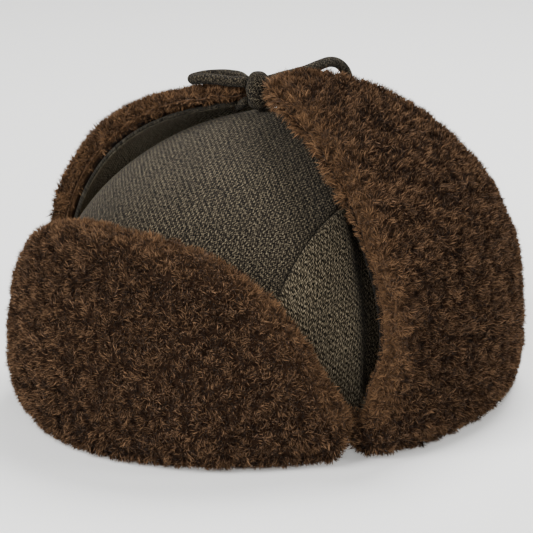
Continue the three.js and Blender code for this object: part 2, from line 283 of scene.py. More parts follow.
def grid_faces(numbers: Array) -> Array:
    """Returns the four-sided faces between the rows and columns of a grid of vertex numbers."""
    around = [numbers[:-1, :-1], numbers[:-1, 1:], numbers[1:, 1:], numbers[1:, :-1]]
    return np.stack(around, axis=-1).reshape(-1, 4)


def ring_faces(rows: int, columns: int) -> Array:
    """Returns the four-sided faces between closed rings of vertices."""
    numbers = np.arange(rows * columns).reshape(rows, columns)
    return grid_faces(np.concatenate([numbers, numbers[:, :1]], axis=1))


def baked(piece: Piece) -> Mesh:
    """Returns a piece's mesh with its modifiers worked in, and takes them off."""
    graph = bpy.context.evaluated_depsgraph_get()
    shape = piece.evaluated_get(graph)
    mesh = bpy.data.meshes.new_from_object(shape, preserve_all_data_layers=True, depsgraph=graph)
    piece.modifiers.clear()
    return mesh


def dress(piece: Piece, finish: Material, slot: Slot, *nodes: str) -> None:
    """Gives a piece its finish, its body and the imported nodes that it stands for."""
    piece.data.materials.clear()
    piece.data.materials.append(finish)
    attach(piece, "root")
    if nodes:
        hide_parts(*nodes)
    triangles = sum(len(face.vertices) - 2 for face in piece.data.polygons)
    LOG.info("%s: %d triangles", piece.name, triangles)


@dataclass(frozen=True)
class TweedFinish:
    """Wool tweed, loosely woven from marled yarn, matt and slightly hairy.

    Light flecks of uneven size lean across dark ground, in rows as wide apart as the yarns. A
    piece's own dark attribute paints shade: it takes the flecks away and leaves the dark ground
    where an edge lies in the fur's shadow. A rate counts a noise's lumps to the millimetre.
    """

    name: str = "wool tweed"
    ground: str = "#080604"
    yarn: str = "#29231b"
    fleck: str = "#786e59"
    yarn_pitch: float = 1.6
    slant: float = 1.5
    turn: float = 0.0
    wobble: float = 0.9
    wobble_rate: float = 0.4
    fibre_rate: float = 1.3
    fibre_stretch: Point = (0.55, 2.2, 1.0)
    marl: Span = (0.38, 0.64, -0.3, 0.66)
    patch_rate: float = 0.05
    patches: Span = (0.3, 0.7, 0.46, 0.74)
    yarn_tone: float = 0.35
    fleck_tone: float = 0.9
    relief: float = 0.3

    def material(self) -> Material:
        """Builds the tweed on the piece's own map of cloth in millimetres."""
        made, tree, shader = new_material(self.name)
        cloth = add_result(tree, "ShaderNodeUVMap", uv_map="cloth")
        turning = {"Vector": cloth, "Rotation": (0, 0, self.turn)}
        light = self.weave(tree, add_result(tree, "ShaderNodeMapping", turning))
        stops = (0.0, self.ground), (self.yarn_tone, self.yarn), (self.fleck_tone, self.fleck)
        tones = tone_ramp(tree, light, *stops)
        # Painted shade: where the dark attribute is set, the weave gives way to the dark ground,
        # standing in for the fur's shadow on the backing's rim.
        dark = attribute_result(tree, "dark")
        bumps = {"Height": light, "Distance": self.relief * MM, "Strength": 0.8}
        sockets = {
            "Base Color": blended(tree, dark, tones, hex_colour(self.ground)),
            "Normal": add_result(tree, "ShaderNodeBump", bumps),
            "Roughness": 0.95,
            "Specular IOR Level": 0.1,
            "Sheen Weight": 0.03,
        }
        set_inputs(shader, sockets)
        return made

    def weave(self, tree: Tree, cloth: Socket) -> Socket:
        """Adds the weave's lightness, from 0 in its pits to 1 on its flecks."""
        drift = noise_result(tree, cloth, self.wobble_rate, 3.0, "Color")
        centred = vector_result(tree, "SUBTRACT", drift, (0.5,) * 3)
        woven = vector_result(tree, "MULTIPLY_ADD", centred, (self.wobble,) * 3, cloth)
        rate = 2 * math.pi / self.yarn_pitch
        across = self.wave(tree, woven, (rate, 0, 0))
        along = self.wave(tree, woven, (-self.slant * rate, rate, 0))
        thread = math_result(tree, "MULTIPLY", across, math_result(tree, "POWER", along, 2.0))
        lean = (0, 0, -math.atan(self.slant))
        lying = {"Vector": cloth, "Rotation": lean, "Scale": self.fibre_stretch}
        slanted = add_result(tree, "ShaderNodeMapping", lying)
        marl = mapped(tree, noise_result(tree, slanted, self.fibre_rate, 3.0), self.marl)
        patch = mapped(tree, noise_result(tree, cloth, self.patch_rate, 2.0), self.patches)
        return math_result(tree, "MULTIPLY_ADD", thread, patch, marl)

    @staticmethod
    def wave(tree: Tree, place: Socket, direction: Point) -> Socket:
        """Adds a wave from 0 to 1 that runs in a direction, given as its turn per millimetre."""
        phase = vector_result(tree, "DOT_PRODUCT", place, direction)
        return math_result(tree, "MULTIPLY_ADD", math_result(tree, "COSINE", phase), 0.5, 0.5)


@dataclass(frozen=True)
class ShearlingFinish:
    """Dyed and sheared sheepskin: dark at the root, paler at the tips, and paler at edges both from wear
    and as painted highlight.
    """

    root: str = "#100a06"
    body: str = "#332215"
    tip: str = "#84664b"
    # The paler tone of the fur's edges: partly wear, partly a painted highlight where the top light
    # falls.
    worn_and_lit: str = "#785a3f"
    body_tone: float = 0.4
    rise: Span = (0.1, 0.8, 0.0, 1.0)

    def material(self) -> Material:
        """Builds the fur's colour from each lock's own tip, shade and edge attributes."""
        made, tree, shader = new_material("dyed shearling")
        tip, shade, edge = (attribute_result(tree, name) for name in ("tip", "shade", "edge"))
        light = math_result(tree, "MULTIPLY", mapped(tree, tip, self.rise), shade)
        tones = tone_ramp(tree, light, (0.0, self.root), (self.body_tone, self.body), (1.0, self.tip))
        # Edges turn paler, partly from wear and partly as a painted highlight.
        edge_wear_and_highlight = math_result(tree, "MULTIPLY", edge, light)
        sockets = {
            "Base Color": blended(tree, edge_wear_and_highlight, tones, hex_colour(self.worn_and_lit)),
            "Roughness": 0.8,
            "Specular IOR Level": 0.08,
            "Sheen Weight": 0.03,
        }
        set_inputs(shader, sockets)
        return made


@dataclass(frozen=True)
class PaperFinish:
    """Matt white paper of the studio's floor."""

    tone: str = "#f6f6f4"
    glow: float = 0.3

    def material(self) -> Material:
        """Builds plain matt paper, lit a little from behind."""
        made, _, shader = new_material("white paper")
        tone = hex_colour(self.tone)
        sockets = {"Base Color": tone, "Roughness": 0.95, "Emission Color": tone}
        set_inputs(shader, sockets | {"Emission Strength": self.glow})
        return made


@dataclass
class Studio:
    """Floor, soft light and the camera at the photograph's angle."""

    azimuth: float = math.radians(40)
    elevation: float = math.radians(15)
    distance: float = 1200.0
    focal_px: float = 2880.0
    frame_px: float = 533.0
    target: Point = (0.0, 0.0, 70.0)
    target_px: Pair = (268.0, 231.0)
    sensor: float = 36.0
    floor_half: float = 4000.0
    lamps: tuple[tuple[str, Point, float, float], ...] = (
        ("left", (-800, 600, 1000), 700, 24),
        ("right", (1050, 500, 550), 450, 5),
        ("front", (150, 50, 1300), 600, 6),
        ("top", (350, 1250, -300), 800, 29),
    )
    even_light: float = 0.2

    def axes(self) -> tuple[Vector, Vector, Vector]:
        """Returns the camera's right, up and backward directions."""
        sin_a, cos_a = math.sin(self.azimuth), math.cos(self.azimuth)
        sin_e, cos_e = math.sin(self.elevation), math.cos(self.elevation)
        right = Vector((cos_a, sin_a, 0))
        up = Vector((-sin_a * sin_e, cos_a * sin_e, cos_e))
        back = Vector((sin_a * cos_e, -cos_a * cos_e, sin_e))
        return right, up, back

    def place_camera(self) -> None:
        """Makes the camera so that the target lands on its pixel of the photograph."""
        right, up, back = self.axes()
        middle = self.frame_px / 2
        per_pixel = self.distance / self.focal_px
        target = Vector(self.target)
        aim = target - right * (self.target_px[0] - middle) * per_pixel
        aim -= up * (middle - self.target_px[1]) * per_pixel
        eye = target + back * self.distance
        lens = bpy.data.cameras.new("camera")
        lens.sensor_width = self.sensor
        lens.lens = self.focal_px * self.sensor / self.frame_px
        camera = placed("camera", lens)
        camera.location = eye * MM
        camera.rotation_euler = (aim - eye).to_track_quat("-Z", "Y").to_euler()
        bpy.context.scene.camera = camera

    def soft_light(self, name: str, place: Point, size: float, power: float) -> None:
        """Hangs a square light that looks at the hat.

        Args:
            name: The light's name.
            place: Its place in millimetres along the camera's right, up and backward directions.
            size: Its side in millimetres.
            power: Its power in watts.
        """
        right, up, back = self.axes()
        light = bpy.data.lights.new(name, "AREA")
        light.size = size * MM
        light.energy = power
        lamp = placed(name, light)
        spot = Vector(self.target) + right * place[0] + up * place[1] + back * place[2]
        lamp.location = spot * MM
        lamp.rotation_euler = (Vector(self.target) - spot).to_track_quat("-Z", "Y").to_euler()

    def build(self) -> None:
        """Makes the camera, the floor, the lights and the even light all round."""
        self.place_camera()
        half = self.floor_half
        corners = np.array([[-half, -half, 0], [half, -half, 0], [half, half, 0], [-half, half, 0]])
        floor = make_piece("floor", corners, [(0, 1, 2, 3)])
        floor.data.materials.append(PaperFinish().material())
        for lamp in self.lamps:
            self.soft_light(*lamp)
        world = bpy.data.worlds.new("even light")
        bpy.context.scene.world = world
        world.use_nodes = True
        sky = world.node_tree.nodes["Background"]
        set_inputs(sky, {"Color": (1, 1, 1, 1), "Strength": self.even_light})


@dataclass
class CrownForm:
    """The crown's outer surface over a flat chart of itself.

    The chart's centre is the apex, the distance from it is the arc length down the crown, and the
    angle runs from the front, 0, over the wearer's left, 90 degrees, to the back.
    """

    radius_x: float
    radius_y: float
    top: float
    rim_height: float = 12.0
    peakedness: float = 1.6
    side_fullness: float = 2.9
    steps: int = 960
    share: Array = field(init=False)
    height: Array = field(init=False)
    arc: Array = field(init=False)

    def __post_init__(self) -> None:
        """Works out the profile from apex to rim."""
        angle = math.pi / 2 * (1 - np.arange(self.steps + 1) / self.steps)
        rise = self.top - self.rim_height
        self.share = np.clip(np.cos(angle), 0, None) ** (2 / self.peakedness)
        self.height = rise * np.clip(np.sin(angle), 0, None) ** (2 / self.side_fullness)
        radial = np.diff(self.share) * (self.radius_x + self.radius_y) / 2
        self.arc = np.concatenate([[0], np.cumsum(np.hypot(radial, np.diff(self.height)))])

    @classmethod
    def from_frame(cls) -> "CrownForm":
        """Reads the crown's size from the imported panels."""
        low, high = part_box("crown_centre_panel")
        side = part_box("crown_side_panel_left")[1]
        return cls(radius_x=side.x / MM, radius_y=(high.y - low.y) / 2 / MM, top=high.z / MM)

    @property
    def rim_arc(self) -> float:
        """The arc length from the apex to the rim."""
        return float(self.arc[-1])

    def surface(self, x: Array, y: Array) -> Array:
        """Returns the crown's points over chart points."""
        arc = np.hypot(x, y)
        share = np.interp(arc, self.arc, self.share)
        height = np.interp(arc, self.arc, self.height) - np.maximum(arc - self.rim_arc, 0)
        scale = np.divide(share, arc, out=np.zeros_like(arc), where=arc > 1e-9)
        flat = [self.radius_x * x * scale, self.radius_y * y * scale, self.rim_height + height]
        return np.stack(flat, axis=-1)

    def lifted(self, x: Array, y: Array, lift: Array | float) -> Array:
        """Returns the points that stand off the crown by lift over chart points."""
        step = 0.5
        along_x = self.surface(x + step, y) - self.surface(x - step, y)
        along_y = self.surface(x, y + step) - self.surface(x, y - step)
        normal = unit(np.cross(along_x, along_y))
        return self.surface(x, y) + normal * np.broadcast_to(lift, x.shape)[..., None]

    def arc_at(self, points: Array) -> Array:
        """Returns the arc length from the apex under points near the crown."""
        across = np.hypot(points[:, 0] / self.radius_x, points[:, 1] / self.radius_y)
        up = (points[:, 2] - self.rim_height) / (self.top - self.rim_height)
        fall = np.arctan2(across, np.maximum(up, 0))
        table = np.arctan2(self.share, self.height / (self.top - self.rim_height))
        return np.interp(fall, table, self.arc) + np.maximum(self.rim_height - points[:, 2], 0)

    def outward(self, points: Array) -> Array:
        """Returns the directions that lead away from the crown at points near it."""
        rise = self.top - self.rim_height
        lean = [
            points[:, 0] / self.radius_x**2,
            points[:, 1] / self.radius_y**2,
            np.maximum(points[:, 2] - self.rim_height, 0) / rise**2,
        ]
        return unit(np.stack(lean, axis=-1))


@dataclass(frozen=True)
class Crease:
    """A soft valley in the cloth, along a line of the chart."""

    start: Pair
    end: Pair
    depth: float
    half_width: float
    steepness: int = 2

    def depth_at(self, x: Array, y: Array) -> Array:
        """Returns how far the cloth sinks at chart points."""
        start, end = np.array(self.start), np.array(self.end)
        along = end - start
        place = np.stack([x, y], axis=-1) - start
        part = np.clip(place @ along / (along @ along), 0, 1)
        off = np.linalg.norm(place - part[..., None] * along, axis=-1)
        return self.depth * np.exp(-((off / self.half_width) ** self.steepness))


@dataclass
class Crown:
    """The crown's three tweed panels, joined by two side seams."""

    form: CrownForm
    wall: float = 3.0
    seam_middle: float = 67.0
    seam_rim_angle: float = math.radians(40)
    seam_gap: float = 0.25
    seam_round: float = 2.4
    seam_dip: float = 1.5
    seam_places: tuple[float, ...] = (0, 0.12, 0.3, 0.6, 1.0)
    side_reach: float = 0.985
    centre_rows: int = 120
    centre_columns: int = 44
    side_rows: int = 90
    side_columns: int = 30
    fold: Crease = Crease((80, -10), (140, -36), 8.0, 12.5, 4)
    creases: tuple[Crease, ...] = (
        Crease((77, -62.5), (90, -59.5), 0.8, 2.5),
        Crease((96, -30), (104, -60), 0.7, 7.0),
        Crease((-40, -70), (10, -30), 0.7, 14.0),
    )

    def seam(self, along: Array) -> tuple[Array, Array]:
        """Returns the left seam's chart points, from -1 at the front to 1 at the back."""
        rim_x = self.form.rim_arc * math.sin(self.seam_rim_angle)
        rim_y = self.form.rim_arc * math.cos(self.seam_rim_angle)
        return self.seam_middle + (rim_x - self.seam_middle) * along**2, rim_y * along

    def spaced(self, count: int, width: float, both_ends: bool) -> Array:
        """Returns places from 0 to 1 over a width, closer together where the cloth turns in."""
        turn = np.array(self.seam_places) * self.seam_round / width
        rest = np.linspace(turn[-1], 1 - turn[-1] if both_ends else 1, count)
        ends = [turn[:-1], rest] + ([1 - turn[-2::-1]] if both_ends else [])
        return np.concatenate(ends)

    def dip(self, from_seam: Array) -> Array:
        """Returns how far the cloth has turned down at a distance from its seam."""
        part = 1 - np.clip(from_seam / self.seam_round, 0, 1)
        return self.seam_dip * (1 - np.sqrt(np.clip(1 - part**2, 0, 1)))

    def sunk(self, x: Array, y: Array) -> Array:
        """Returns how far the creases sink the cloth at chart points."""
        return sum(crease.depth_at(x, y) for crease in self.creases)

    def wall_piece(self, name: str, x: Array, y: Array, from_seam: Array) -> Piece:
        """Builds a panel as a closed wall over a grid of chart points.

        Args:
            name: The piece's name.
            x: Chart points' X, as rows and columns.
            y: Chart points' Y.
            from_seam: Each chart point's distance from the seam.

        Returns:
            The panel, in the scene.
        """
        fold = self.fold.depth_at(x, y)
        outer = self.form.lifted(x, y, -fold - self.dip(from_seam) - self.sunk(x, y))
        inner = self.form.lifted(x, y, -fold - self.wall)
        rows, columns = x.shape
        numbers = np.arange(rows * columns).reshape(rows, columns)
        quads = grid_faces(numbers)
        border = [numbers[0], numbers[1:, -1], numbers[-1, -2::-1], numbers[-2:0:-1, 0]]
        ring = np.concatenate(border)
        after = np.roll(ring, -1)
        shift = rows * columns
        sides = np.stack([ring, after, after + shift, ring + shift], axis=-1)
        faces = np.concatenate([quads, quads[:, ::-1] + shift, sides])
        cloth = laid_flat(outer).reshape(-1, 2)
        uv = np.concatenate([cloth, cloth])[faces.ravel()]
        points = np.concatenate([outer.reshape(-1, 3), inner.reshape(-1, 3)])
        return make_piece(name, points, faces.tolist(), uv)

    def centre_panel(self) -> Piece:
        """Builds the panel that runs from the front rim over the top to the back rim."""
        across = self.spaced(self.centre_columns, 2 * self.seam_middle, True) * 2 - 1
        along = np.linspace(-1, 1, self.centre_rows)
        u, v = np.meshgrid(across, along)
        seam_x = self.seam(v)[0] - self.seam_gap / 2
        rim_x = u * self.form.rim_arc * math.sin(self.seam_rim_angle)
        x, y = u * seam_x, v * np.sqrt(self.form.rim_arc**2 - rim_x**2)
        return self.wall_piece("crown_centre_tweed", x, y, (1 - np.abs(u)) * seam_x)

    def side_panel(self, side: Side) -> Piece:
        """Builds the panel over one ear."""
        rim = self.form.rim_arc
        across = self.spaced(self.side_columns, rim - self.seam_middle, False)
        along = np.linspace(-1, 1, self.side_rows) * self.side_reach
        u, v = np.meshgrid(across, along)
        seam_x, seam_y = self.seam(v)
        angle = math.pi / 2 + v * (math.pi / 2 - self.seam_rim_angle)
        rim_x, rim_y = rim * np.sin(angle), -rim * np.cos(angle)
        start_x = seam_x + self.seam_gap / 2
        x = start_x + (rim_x - start_x) * u
        y = seam_y + (rim_y - seam_y) * u
        name = f"crown_side_tweed_{side.name.lower()}"
        return self.wall_piece(name, side.value * x, y, np.hypot(x - seam_x, y - seam_y))

    def build(self) -> None:
        """Makes the three panels and dresses them."""
        centre = TweedFinish(turn=math.radians(-52)).material()
        # Painted light: the side panels get a lighter copy of the centre's tweed, as they stand in less
        # of the lamps' light.
        slanted = TweedFinish(
            name="wool tweed on the bias", yarn="#3e3729", fleck="#8c806a", turn=math.radians(62)
        ).material()
        dress(self.centre_panel(), centre, Slot.CLOTH, "crown_centre_panel")
        for side in Side:
            node = f"crown_side_panel_{side.name.lower()}"
            dress(self.side_panel(side), slanted, Slot.CLOTH, node)


def laid_flat(grid: Array) -> Array:
    """Lays a grid of cloth out flat: its lengths along rows and columns, in millimetres."""
    steps = np.linalg.norm(np.diff(grid, axis=1), axis=-1)
    across = np.concatenate([np.zeros((len(grid), 1)), np.cumsum(steps, axis=1)], axis=1)
    across -= across[:, [grid.shape[1] // 2]]
    falls = np.linalg.norm(np.diff(grid, axis=0), axis=-1).mean(axis=1)
    down = np.concatenate([[0], np.cumsum(falls)])
    return np.stack([across, np.broadcast_to(down[:, None], across.shape)], axis=-1)


def smoothed(holder: Piece, levels: int) -> Mesh:
    """Returns a holder's mesh divided and smoothed. Its own vertices come first in it."""
    smoother = holder.modifiers.new("smooth", "SUBSURF")
    smoother.levels = levels
    smoother.render_levels = levels
    return baked(holder)


def refined(node: str, name: str, levels: int, back_seam: float) -> Mesh:
    """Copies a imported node's faceted solid as a smooth mesh that still passes through its corners.

    Args:
        node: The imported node.
        name: The new mesh's name.
        levels: How many times each face is divided.
        back_seam: Points this close to the middle at the back keep a sharp edge.

    Returns:
        The smooth mesh, with its faces pointing out.
    """
    work = bmesh.new()
    work.from_mesh(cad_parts[node].data)
    bmesh.ops.remove_doubles(work, verts=work.verts, dist=0.02 * MM)
    bmesh.ops.join_triangles(
        work,
        faces=work.faces,
        angle_face_threshold=math.radians(50),
        angle_shape_threshold=math.radians(70),
    )
    crease = work.edges.layers.float.new("crease_edge")
    for edge in work.edges:
        if all(abs(v.co.x) < back_seam * MM and v.co.y > 0 for v in edge.verts):
            edge[crease] = 1.0
    mesh = bpy.data.meshes.new(name)
    work.to_mesh(mesh)
    work.free()
    holder = placed(name, mesh)
    corners = read_points(mesh)
    for _ in range(2):
        drawn_in = read_points(smoothed(holder, levels))[: len(corners)]
        write_points(mesh, read_points(mesh) + corners - drawn_in)
    fine = smoothed(holder, levels)
    bpy.data.objects.remove(holder)
    return fine


def nearest(points: Array, places: Array) -> Array:
    """Returns, for each point, the one of the places that lies nearest to it."""
    tree = KDTree(len(places))
    for index, place in enumerate(places):
        tree.insert(place, index)
    tree.balance()
    return np.array([tree.find(point)[0] for point in points])


@dataclass
class CurlTree:
    """Geometry Nodes that cover a pelt with fine tapering locks, drawn together in small curls.

    The sizes are the tree's named inputs. Density counts locks to the square millimetre, and the
    waves shift the clumps' borders. Crest and depth lead from a clump's middle to its border: how
    long its locks are, and how light; the darker locks at the border are painted shade between clumps.
    """

    finish: Material
    sizes: dict[str, float] = field(
        default_factory=lambda: {
            "Spacing": 0.345,
            "Length": 3.7,
            "Width": 0.45,
            "Curl": 0.6,
            "Clump": 3.3,
            "Lean": 0.9,
            "Scatter": 0.75,
            "From": -200.0,
            "To": 200.0,
        }
    )
    lengths: tuple[str, ...] = ("Spacing", "Length", "Width", "Clump", "From", "To")
    density: float = 28.0
    waves: float = 3.5
    crest: Span = (0.1, 0.75, 0.95, 0.72)
    # Painted shade: locks towards a clump's border are made darker, standing in for the shade between
    # clumps.
    depth: Span = (0.1, 0.7, 0.54, 0.2)
    long_power: float = 5.0
    long_share: float = 0.25
    light_power: float = 2.0
    light_share: float = 0.8
    floor_gap: float = 0.3
    tree: Tree = field(init=False)

    def __post_init__(self) -> None:
        """Builds the tree with a named input for each size."""
        self.tree = bpy.data.node_groups.new("shearling curls", "GeometryNodeTree")
        face = self.tree.interface
        face.new_socket("Geometry", in_out="INPUT", socket_type="NodeSocketGeometry")
        for name, size in self.sizes.items():
            socket = face.new_socket(name, in_out="INPUT", socket_type="NodeSocketFloat")
            socket.default_value = size * (MM if name in self.lengths else 1)
        face.new_socket("Geometry", in_out="OUTPUT", socket_type="NodeSocketGeometry")
        entry = add_node(self.tree, "NodeGroupInput").outputs
        clumps, heading = self.clumps(entry)
        points = self.scattered(entry)
        locks = self.planted(points, self.lock(entry), clumps, heading)
        add_node(self.tree, "NodeGroupOutput", {0: self.finished(locks)})

    def place(self) -> Socket:
        """Adds the place of a point."""
        return add_result(self.tree, "GeometryNodeInputPosition")

    def parts(self, vector: Socket) -> Outputs:
        """Adds a vector's X, Y and Z."""
        return add_node(self.tree, "ShaderNodeSeparateXYZ", {0: vector}).outputs

    def named(self, name: str, kind: str = "FLOAT") -> Socket:
        """Adds one of the pelt's own attributes."""
        return add_result(self.tree, "GeometryNodeInputNamedAttribute", {0: name}, data_type=kind)

    def stored(self, shape: Socket, name: str, value: Socket, domain: str) -> Socket:
        """Adds an attribute to a shape and returns the shape."""
        inputs = {0: shape, 2: name, 3: value}
        kind = "GeometryNodeStoreNamedAttribute"
        return add_result(self.tree, kind, inputs, data_type="FLOAT", domain=domain)

    def luck(self, low: float, seed: int) -> Socket:
        """Adds a random number from low to 1 for each lock."""
        inputs = {2: low, 3: 1.0, "Seed": seed}
        return add_node(self.tree, "FunctionNodeRandomValue", inputs, data_type="FLOAT").outputs[1]

    def lock(self, entry: Outputs) -> Socket:
        """Adds one lock: a bent blade, widest halfway, with a tip attribute from 0 to 1 along it."""
        tree = self.tree
        ring = {"Vertices": 4, "Radius": 0.5}
        blade = add_result(tree, "GeometryNodeMeshCircle", ring, fill_type="NGON")
        flat = self.parts(self.place())
        rise = math_result(tree, "ADD", flat[1], 0.5)
        tipped = self.stored(blade, "tip", rise, "POINT")
        across = math_result(tree, "MULTIPLY", flat[0], entry["Width"])
        up = math_result(tree, "MULTIPLY", rise, entry["Length"])
        bend = math_result(tree, "MULTIPLY", up, rise)
        curled = math_result(tree, "MULTIPLY", bend, entry["Curl"])
        shape = add_result(tree, "ShaderNodeCombineXYZ", {0: across, 1: curled, 2: up})
        return add_result(tree, "GeometryNodeSetPosition", {0: tipped, 2: shape})

    def scattered(self, entry: Outputs) -> Outputs:
        """Adds evenly spaced points where the pelt's fur attribute is set, between two limits of Y."""
        tree = self.tree
        y = self.parts(self.place())[1]
        past = math_result(tree, "GREATER_THAN", y, entry["From"])
        before = math_result(tree, "LESS_THAN", y, entry["To"])
        between = math_result(tree, "MULTIPLY", past, before)
        inputs = {
            "Mesh": entry["Geometry"],
            "Distance Min": entry["Spacing"],
            "Density Max": self.density / MM**2,
            "Density Factor": math_result(tree, "MULTIPLY", self.named("fur"), between),
            "Seed": 11,
        }
        kind = "GeometryNodeDistributePointsOnFaces"
        return add_node(tree, kind, inputs, distribute_method="POISSON").outputs

    def clumps(self, entry: Outputs) -> tuple[Outputs, Socket]:
        """Adds the clumps, and the way in which a lock leans: to its clump's middle, combed, astray."""
        tree = self.tree
        place = self.place()
        finer = math_result(tree, "DIVIDE", 1.0, entry["Clump"])
        drift = noise_result(tree, place, finer, 2.0, "Color")
        uneven = vector_result(tree, "MULTIPLY_ADD", drift, (self.waves * MM,) * 3, place)
        clumps = add_node(tree, "ShaderNodeTexVoronoi", {"Vector": uneven, "Scale": finer}).outputs
        inwards = vector_result(tree, "SUBTRACT", clumps["Position"], uneven)
        pull = math_result(tree, "MULTIPLY", finer, entry["Lean"])
        lean = vector_result(tree, "MULTIPLY", inwards, pull)
        limits = {0: (-1.0,) * 3, 1: (1.0,) * 3, "Seed": 5}
        stray = add_result(tree, "FunctionNodeRandomValue", limits, data_type="FLOAT_VECTOR")
        astray = vector_result(tree, "MULTIPLY", stray, entry["Scatter"])
        combed = vector_result(tree, "ADD", astray, self.named("comb", "FLOAT_VECTOR"))
        return clumps, vector_result(tree, "ADD", lean, combed)

    def planted(self, points: Outputs, lock: Socket, clumps: Outputs, heading: Socket) -> Socket:
        """Adds a lock on each point, turned its own way, with its length and its shade."""
        tree = self.tree
        towards = vector_result(tree, "ADD", points["Normal"], heading)
        kind = "FunctionNodeAlignRotationToVector"
        stand = add_result(tree, kind, {"Vector": towards}, axis="Z")
        way = self.parts(clumps["Color"])[0]
        swirl = math_result(tree, "MULTIPLY_ADD", way, 2 * math.pi, self.luck(-1.0, 7))
        round_z = {"Axis": (0.0, 0.0, 1.0), "Angle": swirl}
        twist = add_result(tree, "FunctionNodeAxisAngleToRotation", round_z)
        both = {"Rotation": stand, "Rotate By": twist}
        turned = add_result(tree, "FunctionNodeRotateRotation", both, rotation_space="LOCAL")
        border = clumps["Distance"]
        rare = math_result(tree, "POWER", self.luck(0.0, 3), self.long_power)
        crest = mapped(tree, border, self.crest)
        grown = math_result(tree, "MULTIPLY_ADD", rare, self.long_share, crest)
        scale = math_result(tree, "MULTIPLY", grown, self.named("trim"))
        inputs = {"Points": points["Points"], "Instance": lock, "Rotation": turned, "Scale": scale}
        locks = add_result(tree, "GeometryNodeInstanceOnPoints", inputs)
        own = math_result(tree, "POWER", self.luck(0.0, 9), self.light_power)
        # The lock's own random tone, plus painted shade that darkens it towards its clump's border.
        depth = mapped(tree, border, self.depth)
        shade = math_result(tree, "MULTIPLY_ADD", own, self.light_share, depth)
        return self.stored(locks, "shade", shade, "INSTANCE")

    def finished(self, locks: Socket) -> Socket:
        """Adds the locks as one plain mesh with its finish, held off the floor."""
        tree = self.tree
        real = add_result(tree, "GeometryNodeRealizeInstances", {0: locks})
        lowest = (-1.0, -1.0, self.floor_gap * MM)
        above = vector_result(tree, "MAXIMUM", self.place(), lowest)
        held = add_result(tree, "GeometryNodeSetPosition", {0: real, 2: above})
        soft = add_result(tree, "GeometryNodeSetShadeSmooth", {0: held})
        return add_result(tree, "GeometryNodeSetMaterial", {0: soft, "Material": self.finish})

    def grow(self, pelt: Piece, name: str, **sizes: float) -> Piece:
        """Grows locks on a pelt as a piece of their own.

        Args:
            pelt: The pelt, with its fur, comb, trim and edge attributes.
            name: The new piece's name.
            **sizes: The tree's inputs that differ from its own, in millimetres or plain numbers.

        Returns:
            The locks, joined in one mesh.
        """
        holder = pelt.copy()
        bpy.context.scene.collection.objects.link(holder)
        grower = holder.modifiers.new("curls", "NODES")
        grower.node_group = self.tree
        for item in self.tree.interface.items_tree:
            if item.in_out == "INPUT" and item.name in sizes:
                size = sizes[item.name]
                grower[item.identifier] = size * (MM if item.name in self.lengths else 1)
        mesh = baked(holder)
        bpy.data.objects.remove(holder)
        return link_piece(name, mesh)


